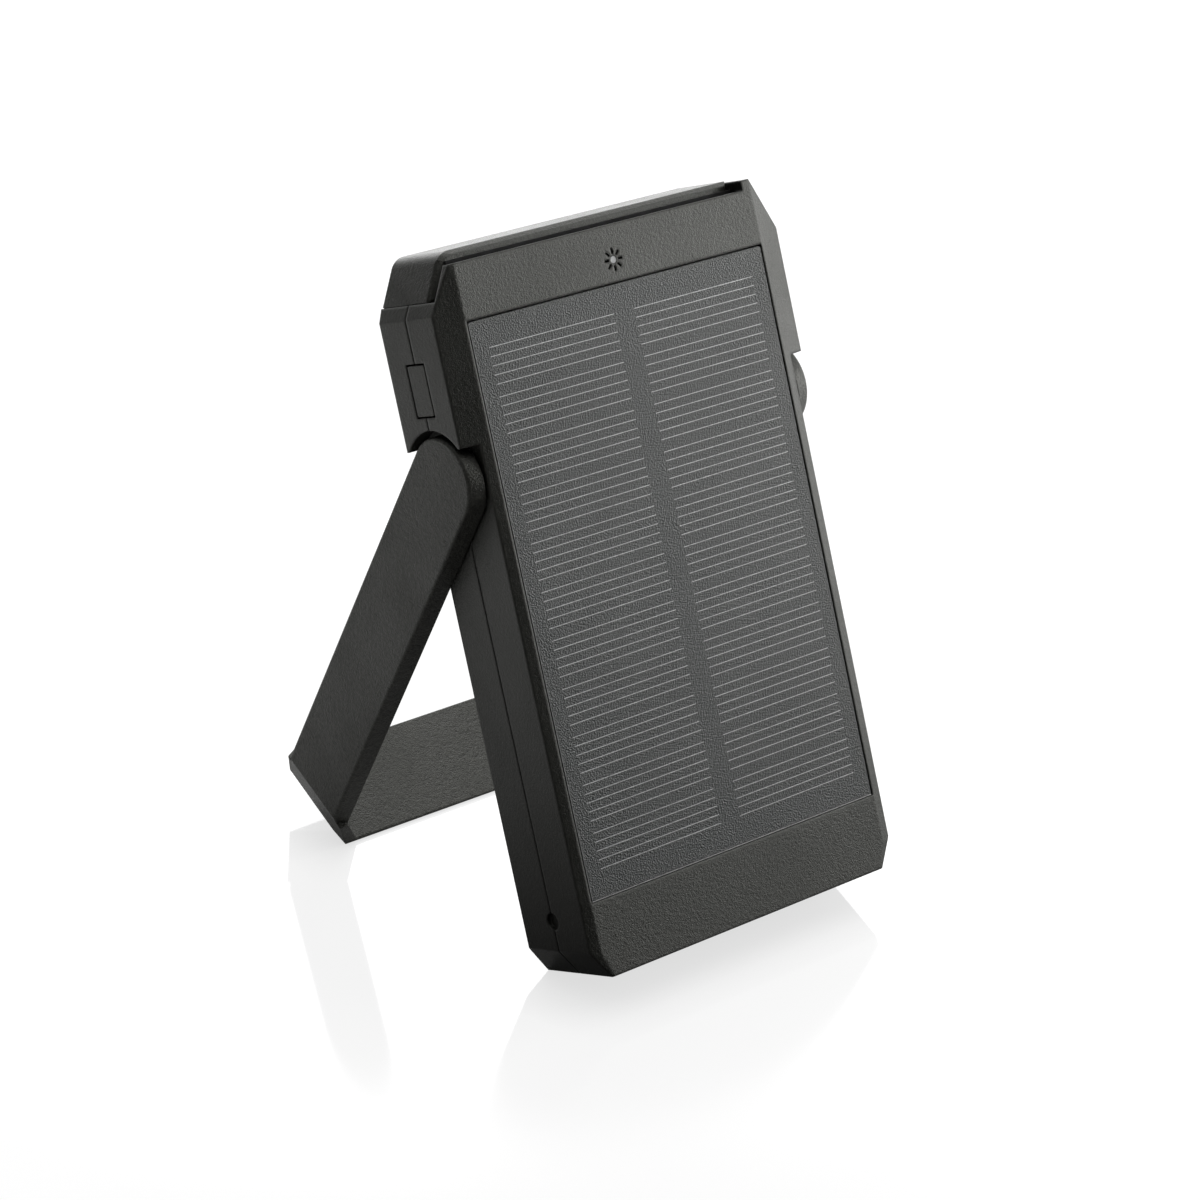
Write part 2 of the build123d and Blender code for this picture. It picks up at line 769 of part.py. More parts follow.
def usb_a_sockets():
    """Folded metal shells of the two output sockets, open at the top."""
    sockets = []
    half, rise, wall = usb_a_width / 2, usb_a_thickness / 2, usb_a_wall
    low = socket_mouth - usb_a_length
    for x in usb_a_centres:
        shell = block(x - half, x + half, mid_depth - rise, mid_depth + rise, low, socket_mouth)
        sockets.append(shell - block(x - half + wall, x + half - wall, mid_depth - rise + wall,
                                     mid_depth + rise - wall, low - over, socket_mouth + over))
    return Compound(sockets)


def usb_a_tongues():
    """Plastic block and contact tongue inside each output socket."""
    inserts = []
    half, rise = usb_a_width / 2 - usb_a_wall, usb_a_thickness / 2 - usb_a_wall
    low, high = socket_mouth - usb_a_length, socket_mouth - usb_tongue_setback
    tongue_half = usb_tongue_width / 2
    for x in usb_a_centres:
        base = block(x - half, x + half, mid_depth - rise, mid_depth + rise, low, low + usb_back_block)
        inserts.append(base + block(x - tongue_half, x + tongue_half, mid_depth - rise,
                                    mid_depth - rise + usb_tongue_thickness, low, high))
    return Compound(inserts)


def micro_usb_socket():
    """Small charging socket: shell with clipped corners, a tongue and a foot on the board."""
    half, rise, wall = micro_usb_width / 2, micro_usb_thickness / 2, micro_usb_wall
    x, low = micro_usb_centre, socket_mouth - micro_usb_length
    shell = block(x - half, x + half, mid_depth - rise, mid_depth + rise, low, socket_mouth)
    shell = chamfer(shell.edges().filter_by(Axis.Z).group_by(Axis.Y)[-1], micro_usb_clip)
    hollow = offset(shell, -wall)
    hollow += Pos(0, 0, over) * hollow
    tongue_half, tongue_front = half - micro_usb_tongue_margin, mid_depth - rise + micro_usb_tongue_front
    tongue = block(x - tongue_half, x + tongue_half, tongue_front, tongue_front + micro_usb_tongue_thickness,
                   low + wall, socket_mouth - micro_usb_tongue_setback)
    foot_half = half - micro_usb_clip
    foot = block(x - foot_half, x + foot_half, mid_depth + rise, board_front, low, low + micro_usb_length / 2)
    return shell - hollow + tongue + foot


def board_part(place, side, height):
    """Square part soldered to the front of the board, placed from the board's shoulders."""
    x, rise = place
    return post(x, board_front - height, board_front, board_shoulder + rise, side / 2)


def power_inductor():
    """Moulded inductor of the charging circuit."""
    body = board_part(inductor_place, inductor_side, inductor_height)
    return chamfer(body.edges().filter_by(Axis.Y), inductor_corner)


def control_chips():
    """Charging controller and boost converter."""
    return Compound([
        board_part(controller_place, controller_side, chip_height),
        board_part(converter_place, converter_side, chip_height),
    ])


def capacitors():
    """Round capacitors lying on the board."""
    cans = []
    for x in capacitor_columns:
        can = Cylinder(capacitor_radius, capacitor_length)
        cans.append(Pos(x, board_front - capacitor_radius, capacitor_top - capacitor_length / 2) * can)
    return Compound(cans)


def board_screws():
    """Small screws that hold the board to the back shell's posts."""
    screws = []
    for x, z in board_screw_places:
        head = rod_y(board_front - board_screw_head_height, board_front, x, z, board_screw_head_radius)
        screws.append(head + rod_y(board_front, board_back + board_screw_bite, x, z, board_screw_radius))
    return Compound(screws)


# ---------------------------------------------------------------- battery
def battery_cells():
    """Two lithium pouch cells, one behind the other."""
    cells = []
    for y0, y1 in ((battery_front, battery_middle), (battery_middle, battery_back)):
        cell = block(-battery_half_width, battery_half_width, y0, y1, battery_low, battery_high)
        cells.append(chamfer(cell.edges().filter_by(Axis.Z), battery_edge_chamfer))
    return Compound(cells)


def battery_pads():
    """Foam sheets in front of and behind the cells."""
    half = battery_half_width - battery_pad_inset
    low, high = battery_low + battery_pad_inset, battery_high - battery_pad_inset
    return Compound([
        block(-half, half, cavity_front, battery_front, low, high),
        block(-half, half, battery_back, cavity_back, low, high),
    ])


def battery_leads():
    """Two flat metal tabs from the top of the rear cell, bent back to the front of the board."""
    tabs = []
    middle = -battery_half_width + tab_inset
    bend = board_bottom + tab_board_rise
    for side in (-1, 1):
        x0 = middle + side * tab_spread - tab_width / 2
        tab = block(x0, x0 + tab_width, battery_middle, battery_middle + tab_thickness, battery_high, bend)
        tab += block(x0, x0 + tab_width, battery_middle, board_front, bend - tab_thickness, bend)
        tabs.append(tab)
    return Compound(tabs)


# ---------------------------------------------------------------- stand and hinge
def foot_point():
    """Where the foot bevel starts, in the folded position: depth and height."""
    return hinge_depth - foot_flat_start, crossbar_bottom


def swung(y, z):
    """A point of the stand after it has swung open."""
    turn = radians(stand_open_angle)
    dy, dz = y - hinge_depth, z - hinge_height
    return hinge_depth + dy * cos(turn) - dz * sin(turn), hinge_height + dy * sin(turn) + dz * cos(turn)


foot_y, foot_z = swung(*foot_point())
lean_angle = degrees(atan2(foot_z, foot_y - case_thickness))
foot_bevel_angle = stand_open_angle - lean_angle


def stand_outline(low, high):
    """Front view of the U between two heights."""
    outer = both_sides([(crossbar_end_half_width, crossbar_bottom), (shoulder_half_width, arm_end_rise),
                        (shoulder_half_width, case_height)])
    inner = both_sides([(foot_half_width + arm_clearance, crossbar_top),
                        (arm_inner, foot_corner_rise + crossbar_top), (arm_inner, case_height)])
    band = Pos(0, (low + high) / 2) * Rectangle(2 * beyond, high - low)
    return (outer - inner) & band


def foot_bevel():
    """Cutter that slants the crossbar's front so that it lies flat on the floor when swung open."""
    y0, z0 = foot_point()
    y1 = -over
    z1 = z0 + (y0 - y1) * tan(radians(foot_bevel_angle))
    return side_prism(outline([(y0, z0), (y1, z1), (y1, z0 - over), (y0, z0 - over)]), -beyond, beyond)


def arm_side(shift):
    """Side view of an arm with its round head, moved forward."""
    middle, low = hinge_depth - shift, crossbar_bottom - over
    side = outline([(middle - arm_half_width, low), (middle + arm_half_width, low),
                    (middle + arm_half_width, hinge_height), (middle - arm_half_width, hinge_height)])
    return side + Pos(middle, hinge_height) * Circle(arm_half_width)


def stand_arm():
    """Right arm: a flat bar, and a slanting one that widens its front side towards the case."""
    arm = side_prism(arm_side(0), arm_inner, shoulder_half_width)
    rims = [edge for edge in arm.faces().sort_by(Axis.X)[-1].edges() if edge.center().Z > crossbar_bottom]
    arm = chamfer(rims, arm_edge_chamfer)
    inner_face = Plane(origin=(arm_inner, 0, 0), x_dir=(0, 1, 0), z_dir=(1, 0, 0))
    run = arm_thickness - arm_edge_chamfer
    arm += extrude(inner_face * arm_side(arm_flare), amount=hypot(run, arm_flare), dir=(run, arm_flare, 0))
    return arm & slab(stand_outline(crossbar_bottom - over, case_height), -beyond, beyond)


def crossbar_ends():
    """Cutters that slope the back of the crossbar's ends."""
    reach = beyond - face_half_width
    wedge = outline([(face_half_width, crossbar_back), (beyond, crossbar_back - reach * crossbar_end_slope),
                     (beyond, crossbar_back + over), (face_half_width, crossbar_back + over)])
    low = crossbar_bottom - over
    return left_and_right(Pos(0, 0, low) * extrude(wedge, amount=arm_end_rise - low))


def stand():
    """Arms with round heads, and the deeper crossbar with its foot bevel."""
    frame = slab(stand_outline(crossbar_bottom - over, arm_end_rise - crossbar_step), 0, crossbar_back)
    frame -= crossbar_ends()
    frame += left_and_right(stand_arm())
    frame -= foot_bevel()
    frame -= left_and_right(rod_x(arm_inner - over, pin_outer, hinge_depth, hinge_height, pin_radius))
    ball_radius = (nub_radius ** 2 + nub_rise ** 2) / (2 * nub_rise)
    nub = Pos(arm_inner - nub_rise + ball_radius, hinge_depth, detent_height) * Sphere(ball_radius)
    nub &= rod_x(arm_inner - over, arm_inner + nub_rise, hinge_depth, detent_height, 2 * nub_radius)
    return frame + left_and_right(nub)


def hinge_pins():
    """Plain steel pins pressed into the arms."""
    return left_and_right(rod_x(pin_inner, pin_outer, hinge_depth, hinge_height, pin_radius))


def pin_washer(x0, x1, radius):
    """Flat ring round the right-hand pin."""
    return (rod_x(x0, x1, hinge_depth, hinge_height, radius)
            - rod_x(x0 - over, x1 + over, hinge_depth, hinge_height, pin_radius))


def friction_washers():
    """Spring washers whose rub keeps the stand where it is put."""
    return left_and_right(pin_washer(washer_inner, washer_outer, washer_radius))


def retaining_rings():
    """Open push-on rings that grip the pins behind the washers."""
    ring = pin_washer(ring_inner, washer_inner, ring_radius)
    slot = block(ring_inner - over, washer_inner + over, hinge_depth - ring_slot_width / 2,
                 hinge_depth + ring_slot_width / 2, hinge_height - ring_radius - over, hinge_height)
    return left_and_right(ring - slot)


# ---------------------------------------------------------------- build, pose and write
case_outer = case_block()
case_cuts = case_cutters()
seam_groove = seam_cutter()

case_parts = {
    "front_shell": front_shell(),
    "back_shell": back_shell(),
    "case_screws": case_screws(),
    "solar_film": solar_film(),
    "solar_cells": solar_cells(),
    "cell_fingers": cell_fingers(),
    "panel_backing": panel_backing(),
    "panel_tape": panel_tape(),
    "panel_leads": panel_leads(),
    "light_guide": light_guide(),
    "charge_led": charge_led(),
    "port_cover": port_cover(),
    "side_button": side_button(),
    "switch_stem": switch_stem(),
    "push_switch": push_switch(),
    "main_board": main_board(),
    "board_screws": board_screws(),
    "usb_a_sockets": usb_a_sockets(),
    "usb_a_tongues": usb_a_tongues(),
    "micro_usb_socket": micro_usb_socket(),
    "power_inductor": power_inductor(),
    "control_chips": control_chips(),
    "capacitors": capacitors(),
    "battery_cells": battery_cells(),
    "battery_pads": battery_pads(),
    "battery_leads": battery_leads(),
}
stand_parts = {
    "stand": stand(),
    "hinge_pins": hinge_pins(),
    "friction_washers": friction_washers(),
    "retaining_rings": retaining_rings(),
}

leant = Pos(0, 0, case_thickness * sin(radians(lean_angle))) * Rot(-lean_angle, 0, 0)
hinge_line = Pos(0, hinge_depth, hinge_height)
opened = leant * hinge_line * Rot(stand_open_angle, 0, 0) * hinge_line.inverse()
front_edge = (leant * case_parts["front_shell"]).bounding_box().min.Y
rear_edge = (opened * stand_parts["stand"]).bounding_box().max.Y
centred = Pos(0, -(front_edge + rear_edge) / 2, 0)

for name, part in case_parts.items():
    export_step(centred * leant * part, f"parts/{name}.step")
for name, part in stand_parts.items():
    export_step(centred * opened * part, f"parts/{name}.step")

print(f"lean {lean_angle:.3f} deg, foot bevel {foot_bevel_angle:.3f} deg")
print(f"shift back {centred.position.Y:.4f} mm, lift {leant.position.Z:.4f} mm")
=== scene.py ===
# %% [markdown]
# # A solar phone charger in Blender
#
# The charger is a flat slab of black moulded plastic with broad shoulders. A solar panel fills its
# face, a rubber flap covers the sockets on its top, and a U-shaped stand is pinned under the
# shoulders. The solid parts are already made at their real size. This lesson loads them as a fixed
# frame, gives each one a finish, and models the thin things that only show close up.
#
# First the frame is loaded, and the box that it fills is kept.

# %% Load the frame
import json
from math import atan2, cos, degrees, pi, radians, sin

import bmesh
import bpy
from mathutils import Matrix, Vector


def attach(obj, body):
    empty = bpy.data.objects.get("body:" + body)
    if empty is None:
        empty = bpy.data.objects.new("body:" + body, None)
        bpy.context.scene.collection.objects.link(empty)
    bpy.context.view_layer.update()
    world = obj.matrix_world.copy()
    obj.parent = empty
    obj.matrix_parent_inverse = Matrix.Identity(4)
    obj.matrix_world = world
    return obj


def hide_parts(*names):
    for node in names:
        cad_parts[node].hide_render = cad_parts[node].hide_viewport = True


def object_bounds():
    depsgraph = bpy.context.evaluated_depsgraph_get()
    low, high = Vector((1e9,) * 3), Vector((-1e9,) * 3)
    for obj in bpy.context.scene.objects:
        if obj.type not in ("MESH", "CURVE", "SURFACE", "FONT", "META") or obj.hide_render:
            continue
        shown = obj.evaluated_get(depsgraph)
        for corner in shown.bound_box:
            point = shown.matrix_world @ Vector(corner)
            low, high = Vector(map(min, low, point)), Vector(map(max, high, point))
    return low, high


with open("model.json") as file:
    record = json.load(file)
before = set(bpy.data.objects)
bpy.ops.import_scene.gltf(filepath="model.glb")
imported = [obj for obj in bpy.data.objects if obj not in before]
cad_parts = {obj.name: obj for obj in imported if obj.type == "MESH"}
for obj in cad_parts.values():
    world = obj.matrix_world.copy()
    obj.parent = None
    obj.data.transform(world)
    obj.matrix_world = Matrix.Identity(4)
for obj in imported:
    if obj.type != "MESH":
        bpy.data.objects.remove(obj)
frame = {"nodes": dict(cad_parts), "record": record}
nodes = frame["nodes"]
cad_low, cad_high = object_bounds()
middle = (cad_low + cad_high) / 2
millimetre = 0.001
print("parts:", len(nodes), "box in mm:", [round(v / millimetre, 1) for v in cad_high - cad_low])

# %% [markdown]
# The case leans back on its stand, so "up the face" isn't straight up. The frame's record holds a
# mount on the flat back, and its axis points through the case from the front to the back. From it
# come the three directions that every new piece on the case is built along: across, up the face,
# and out of the face. The lean could be typed in as an angle, but read from the record it stays
# right if the solids change.

# %% Directions on the case
back_axis = Vector(next(m["axis"] for m in frame["record"]["mounts"] if m["name"] == "back_face"))
outward = -back_axis.normalized()
across = Vector((1, 0, 0))
upward = outward.cross(across).normalized()
if upward.z < 0:
    upward = -upward
case_axes = Matrix((across, upward, outward)).transposed().to_4x4()


def span(node, direction):
    """Lowest and highest reach of a part along a direction, in metres."""
    reach = [vertex.co.dot(direction) for vertex in nodes[node].data.vertices]
    return min(reach), max(reach)


print("lean in degrees:", round(90 - degrees(upward.angle(Vector((0, 1, 0)))), 2))

# %% [markdown]
# ## The camera
#
# The camera is placed by the direction that it looks in, its distance and the point that it aims
# at. It stands to the front left, a little above, with a long lens that keeps the slab's edges
# nearly parallel, and is rolled by a couple of degrees. The aim point is given from the middle of
# the frame's box.

# %% Camera
camera_azimuth = radians(40.92)
camera_elevation = radians(25.95)
camera_roll = radians(2.64)
camera_distance = 0.7049
camera_lens = 113.85
aim_offset = Vector((-0.00654, -0.00944, -0.0056))

camera_data = bpy.data.cameras.new("camera")
camera_data.lens = camera_lens
camera_data.sensor_width = 36
camera_data.clip_start = 0.01
camera = bpy.data.objects.new("camera", camera_data)
bpy.context.scene.collection.objects.link(camera)
bpy.context.scene.camera = camera

sight = Vector((sin(camera_azimuth) * cos(camera_elevation), cos(camera_azimuth) * cos(camera_elevation),
                -sin(camera_elevation)))
aim = sight.to_track_quat("-Z", "Y").to_matrix() @ Matrix.Rotation(camera_roll, 3, "Z")
camera.matrix_world = Matrix.Translation(middle + aim_offset - sight * camera_distance) @ aim.to_4x4()
print("camera at", [round(v, 3) for v in camera.matrix_world.translation])

# %% [markdown]
# ## Lights
#
# Black plastic shows its shape mostly by what it reflects, so each lamp is a large soft rectangle
# that some surface mirrors. The key lamp at the front right makes the face and the right-hand
# bevels shine softly. A wide one high behind lights the top of the flap, and a long low one at the
# back right draws a pale rim along the top edges. A ready-made studio wrapped round the scene as
# its world could do the same, but with three lamps each reflection can be moved by itself.

# %% Lamps
def soft_box(name, offset, width, height, brightness):
    """Rectangular lamp that faces the middle from an offset, with its brightness per area."""
    data = bpy.data.lights.new(name, "AREA")
    data.shape = "RECTANGLE"
    data.size = width
    data.size_y = height
    data.energy = brightness * pi * width * height
    lamp = bpy.data.objects.new(name, data)
    bpy.context.scene.collection.objects.link(lamp)
    place = middle + Vector(offset)
    facing = (middle - place).to_track_quat("-Z", "Y").to_matrix()
    lamp.matrix_world = Matrix.Translation(place) @ facing.to_4x4()
    print(name, "power in watts:", round(data.energy, 2))


soft_box("key_lamp", (0.54, -0.29, 0.17), width=0.50, height=0.32, brightness=5.4)
soft_box("rear_lamp", (0.45, 0.60, 0.80), width=0.9, height=0.9, brightness=2.0)
soft_box("rim_lamp", (0.75, 0.95, 0.12), width=1.0, height=0.30, brightness=3.0)

# %% [markdown]
# ## Floor and cards
#
# The charger stands on a wide pale sheet. Three black cards stand round it at the front, the left
# and behind. A studio sets such cards just out of view, and the left-hand bevels, the left side
# and the stand's arms mirror them and stay dark. The cards are hidden from the camera only, so
# they still show in reflections. None of this belongs to the charger.

# %% Floor and cards
floor_reach = 4.0
card_height = 0.95


def sheet(name, corners):
    """Flat four-sided sheet."""
    shape = bmesh.new()
    shape.faces.new([shape.verts.new(corner) for corner in corners])
    mesh = bpy.data.meshes.new(name)
    shape.to_mesh(mesh)
    shape.free()
    flat = bpy.data.objects.new(name, mesh)
    bpy.context.scene.collection.objects.link(flat)
    return flat


def standing_card(name, start, end):
    """Card that stands on the floor between two points and isn't seen by the camera."""
    card = sheet(name, [(*start, cad_low.z), (*end, cad_low.z), (*end, card_height), (*start, card_height)])
    card.visible_camera = False
    return card


floor = sheet("floor", [(-floor_reach, -floor_reach, cad_low.z), (floor_reach, -floor_reach, cad_low.z),
                        (floor_reach, floor_reach, cad_low.z), (-floor_reach, floor_reach, cad_low.z)])
cards = [standing_card("front_card", (-0.85, -0.62), (0.33, -0.62)),
         standing_card("left_card", (-0.72, -0.70), (-0.72, 0.75)),
         standing_card("rear_card", (-0.72, 0.75), (-0.20, 0.95))]
print("stage:", floor.name, [card.name for card in cards])

# %% [markdown]
# ## Materials: a few helpers
#
# Every finish is a Principled shader fed by textures that read Object coordinates, so the patterns
# have a real size and stay put when a part moves. Numbers that don't vary are set straight on the
# shader's own sockets. The helpers let a socket be given either a number or another node's output,
# which keeps each finish short enough to read.

# %% Material helpers
def feed(tree, socket, value):
    """Gives a socket a fixed value, or links another node's output to it."""
    if isinstance(value, bpy.types.NodeSocket):
        tree.links.new(value, socket)
    else:
        socket.default_value = value


def add_node(tree, kind, **values):
    """Node with its sockets or settings given by name, with _ for a space in a socket's name."""
    node = tree.nodes.new(kind)
    for key, value in values.items():
        label = key.replace("_", " ")
        if label in node.inputs:
            feed(tree, node.inputs[label], value)
        else:
            setattr(node, key, value)
    return node


def new_finish(name, **settings):
    """Material with a Principled shader. Returns the material, its node tree and its shader."""
    material = bpy.data.materials.new(name)
    material.use_nodes = True
    shader = material.node_tree.nodes["Principled BSDF"]
    wire(material.node_tree, shader, **settings)
    return material, material.node_tree, shader


def wire(tree, node, **values):
    """Gives several of a node's sockets their values, with _ for a space in a socket's name."""
    for key, value in values.items():
        feed(tree, node.inputs[key.replace("_", " ")], value)


def grey(level):
    """Opaque neutral colour."""
    return (level, level, level, 1)


# %% [markdown]
# Four small sums come back all the time: blending two values, an arithmetic step, stretching a
# range and reading where a point lies on its part. Each gets a helper that returns an output.

# %% Sums between nodes
def blend(tree, kind, share, first, second):
    """Blend of two numbers ("FLOAT") or two colours ("RGBA") by a share."""
    node = add_node(tree, "ShaderNodeMix", data_type=kind)
    places, result = ((0, 2, 3), 0) if kind == "FLOAT" else ((0, 6, 7), 2)
    for place, value in zip(places, (share, first, second)):
        feed(tree, node.inputs[place], value)
    return node.outputs[result]


def compute(tree, operation, first, second, **settings):
    """Result of one arithmetic step."""
    node = add_node(tree, "ShaderNodeMath", operation=operation, **settings)
    feed(tree, node.inputs[0], first)
    feed(tree, node.inputs[1], second)
    return node.outputs[0]


def stretch(tree, value, source, target=(0.0, 1.0), curve="LINEAR"):
    """Value carried over from one range to another."""
    node = add_node(tree, "ShaderNodeMapRange", interpolation_type=curve, Value=value, From_Min=source[0],
                    From_Max=source[1], To_Min=target[0], To_Max=target[1])
    return node.outputs["Result"]


def place_on_part(tree):
    """Object coordinates: where the point lies on its part, in metres."""
    return add_node(tree, "ShaderNodeTexCoord").outputs["Object"]


# %% [markdown]
# Three effects come back in many finishes, so each is a node group with named inputs.
#
# - **Moulded grain**: the fine spark-eroded texture of a mould, as a height for bump and a tone that
#   makes the plastic very slightly uneven. Two noises are laid over each other, since one alone
#   looks too even.
# - **Soft edge**: real mouldings have no knife edges. The Bevel node bends the shading round each
#   edge, and where the bent direction differs from the flat one there is an edge, which gives a
#   mask for a paler tone on the edges: partly the wear of handled corners, partly painted sheen.
# - **Handling**: large faint clouds that shift the roughness, as skin leaves them.

# %% Node groups
def new_group(name, inputs, outputs):
    """Empty shader node group with float inputs (name, default) and outputs (name, socket type)."""
    group = bpy.data.node_groups.new(name, "ShaderNodeTree")
    for label, default in inputs:
        socket = group.interface.new_socket(name=label, in_out="INPUT", socket_type="NodeSocketFloat")
        socket.default_value = default
    for label, kind in outputs:
        group.interface.new_socket(name=label, in_out="OUTPUT", socket_type=kind)
    return group, group.nodes.new("NodeGroupInput").outputs, group.nodes.new("NodeGroupOutput")


coarse_ratio = 0.37
grain_range = (0.3, 0.7)
cloud_range = (0.35, 0.65)


def moulded_grain():
    """Group for the grain of a mould: a height and a tone from two noises."""
    group, given, out = new_group("moulded_grain", [("Scale", 4200), ("Coarse", 0.4)],
                                  [("Height", "NodeSocketFloat"), ("Tone", "NodeSocketFloat")])
    where = place_on_part(group)
    fine = add_node(group, "ShaderNodeTexNoise", Vector=where, Scale=given["Scale"], Detail=2.0,
                    Roughness=0.6)
    wider = compute(group, "MULTIPLY", given["Scale"], coarse_ratio)
    coarse = add_node(group, "ShaderNodeTexNoise", Vector=where, Scale=wider, Detail=1.0, Roughness=0.5)
    height = blend(group, "FLOAT", given["Coarse"], fine.outputs["Fac"], coarse.outputs["Fac"])
    wire(group, out, Height=height, Tone=stretch(group, height, grain_range))
    return group


def soft_edge():
    """Group for edges: a normal bent round them and a mask of where they are."""
    group, given, out = new_group("soft_edge", [("Radius", 0.0003), ("Strength", 2.5)],
                                  [("Normal", "NodeSocketVector"), ("Edge", "NodeSocketFloat")])
    bent = add_node(group, "ShaderNodeBevel", samples=6, Radius=given["Radius"])
    flat = add_node(group, "ShaderNodeNewGeometry")
    same = add_node(group, "ShaderNodeVectorMath", operation="DOT_PRODUCT")
    feed(group, same.inputs[0], bent.outputs["Normal"])
    feed(group, same.inputs[1], flat.outputs["True Normal"])
    differ = compute(group, "SUBTRACT", 1.0, same.outputs["Value"])
    wire(group, out, Normal=bent.outputs["Normal"],
         Edge=compute(group, "MULTIPLY", differ, given["Strength"], use_clamp=True))
    return group


def handling():
    """Group for the clouds that handling leaves in the roughness."""
    group, given, out = new_group("handling", [("Scale", 60), ("Low", 0.42), ("High", 0.5)],
                                  [("Roughness", "NodeSocketFloat")])
    cloud = add_node(group, "ShaderNodeTexNoise", Vector=place_on_part(group), Scale=given["Scale"],
                     Detail=3.0, Roughness=0.55)
    spread = stretch(group, cloud.outputs["Fac"], cloud_range, (given["Low"], given["High"]))
    wire(group, out, Roughness=spread)
    return group


grain_group, edge_group, handling_group = moulded_grain(), soft_edge(), handling()
print("groups:", [group.name for group in bpy.data.node_groups])

# %% [markdown]
# ## Moulded plastic and rubber
#
# The case, the stand, the button and the flap are all black mouldings that differ in grain, gloss
# and tone. One function lays the three groups together: grain as bump, handling as roughness, and
# a slightly paler tone on the edges, which is partly wear and partly painted sheen. The specular
# tint takes a little blue out of the shine, since this plastic leans towards olive.

# %% Moulded finishes
def place_group(tree, group, **values):
    """One use of a node group, with some of its inputs given."""
    node = add_node(tree, "ShaderNodeGroup", node_tree=group)
    wire(tree, node, **values)
    return node


def moulded(name, dark, light, edge, rough, grain_scale, grain_depth, radius):
    """Moulded finish between two tones, paler on its edges, with its grain and gloss."""
    material, tree, shader = new_finish(name, Specular_Tint=(0.99, 1.0, 0.94, 1))
    grain = place_group(tree, grain_group, Scale=grain_scale).outputs
    corner = place_group(tree, edge_group, Radius=radius).outputs
    touch = place_group(tree, handling_group, Low=rough[0], High=rough[1])
    tone = blend(tree, "RGBA", grain["Tone"], (*dark, 1), (*light, 1))
    bump = add_node(tree, "ShaderNodeBump", Distance=grain_depth, Strength=1.0, Height=grain["Height"],
                    Normal=corner["Normal"])
    # Paler tone on the edges: partly wear, partly painted sheen.
    wire(tree, shader, Base_Color=blend(tree, "RGBA", corner["Edge"], tone, (*edge, 1)),
         Roughness=touch.outputs["Roughness"], Normal=bump.outputs["Normal"])
    return material


# Edge tones: partly wear, partly painted sheen.
case_finish = moulded("case_plastic_finish", dark=(0.001, 0.001, 0.0005), light=(0.016, 0.0165, 0.013),
                      edge=(0.026, 0.026, 0.023), rough=(0.36, 0.43), grain_scale=4600, grain_depth=0.00014,
                      radius=0.0007)
stand_finish = moulded("stand_plastic_finish", dark=(0.0, 0.0, 0.0), light=(0.042, 0.0425, 0.035),
                       edge=(0.050, 0.050, 0.045), rough=(0.42, 0.50), grain_scale=3000, grain_depth=0.00026,
                       radius=0.0003)
button_finish = moulded("button_plastic_finish", dark=(0.002, 0.002, 0.001), light=(0.018, 0.0185, 0.014),
                        edge=(0.026, 0.026, 0.023), rough=(0.36, 0.42), grain_scale=4200, grain_depth=0.00014,
                        radius=0.0002)
cover_finish = moulded("cover_rubber_finish", dark=(0.002, 0.002, 0.001), light=(0.022, 0.0225, 0.018),
                       edge=(0.026, 0.026, 0.023), rough=(0.34, 0.40), grain_scale=4400, grain_depth=0.00016,
                       radius=0.0004)
print("moulded:", [finish.name for finish in (case_finish, stand_finish, button_finish, cover_finish)])

# %% [markdown]
# ## The solar panel
#
# The panel is a sheet of clear film over dark cells. The film has a pebbled surface like orange
# peel, which breaks the reflections up. Cells round pebbles and a finer ripple are blended into one
# bump. The film could be made truly transparent, but the dark cells hardly show through it, so an
# opaque film with a cool dark tone gives the same look with far less work for the renderer.

# %% Panel finish
pebble_scale = 3500.0
ripple_scale = 5000.0
pebble_height = 0.00018
film_dark = (0.004, 0.005, 0.0055, 1)
film_light = (0.036, 0.039, 0.040, 1)


def panel_finish():
    """Pebbled dark film of the panel."""
    material, tree, shader = new_finish("panel_film_finish", Specular_Tint=(0.985, 1.0, 0.965, 1))
    where = place_on_part(tree)
    pebbles = add_node(tree, "ShaderNodeTexVoronoi", feature="SMOOTH_F1", Vector=where, Scale=pebble_scale,
                       Smoothness=0.6)
    ripple = add_node(tree, "ShaderNodeTexNoise", Vector=where, Scale=ripple_scale, Detail=2.0)
    height = blend(tree, "FLOAT", 0.5, pebbles.outputs["Distance"], ripple.outputs["Fac"])
    corner = place_group(tree, edge_group, Radius=0.0002)
    touch = place_group(tree, handling_group, Low=0.31, High=0.37)
    bump = add_node(tree, "ShaderNodeBump", Distance=pebble_height, Strength=1.0, Height=height,
                    Normal=corner.outputs["Normal"])
    tone = blend(tree, "RGBA", ripple.outputs["Fac"], film_dark, film_light)
    wire(tree, shader, Base_Color=tone, Roughness=touch.outputs["Roughness"], Normal=bump.outputs["Normal"])
    return material


film_finish = panel_finish()
print("film nodes:", len(film_finish.node_tree.nodes))

# %% [markdown]
# ## Plain finishes for the small parts
#
# The metal and the inner parts are seen only when the flap or the stand is opened, but each has
# its own grain: brushed steel for pins and sockets, solder mask for the board, foil for the cells.
# One function makes them all from a single noise, and a stretch along one axis turns its specks
# into brush marks.

